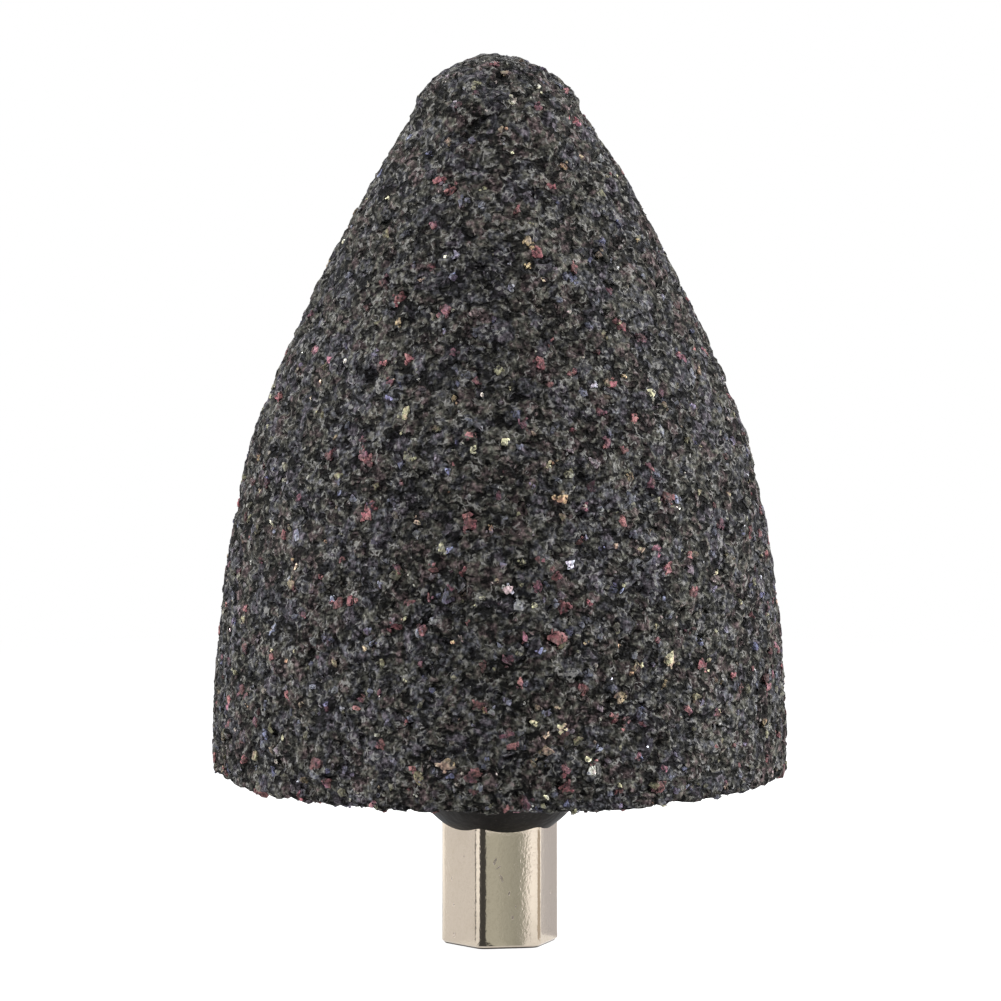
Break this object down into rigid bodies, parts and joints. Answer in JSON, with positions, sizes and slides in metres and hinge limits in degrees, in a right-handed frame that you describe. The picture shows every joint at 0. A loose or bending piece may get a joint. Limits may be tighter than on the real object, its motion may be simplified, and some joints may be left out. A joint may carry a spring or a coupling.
{
  "type": "mounted point",
  "caption": "Cone-shaped abrasive mounted point with a domed nose and a coarse dark grain, cemented on a short hexagonal shank.",
  "frame": {"origin": "on the axis, at the free end of the shank", "axes": "+Z along the axis, from the shank towards the nose; two of the shank's flats face +Y and -Y"},
  "size_m": [0.035, 0.035, 0.0546],
  "materials": {
    "abrasive": "matte",
    "cement": "satin",
    "plated_steel": "gloss"
  },
  "bodies": {
    "root": {"abrasive_cone": "abrasive", "bond_collar": "cement", "hex_shank": "plated_steel"}
  },
  "joints": []
}
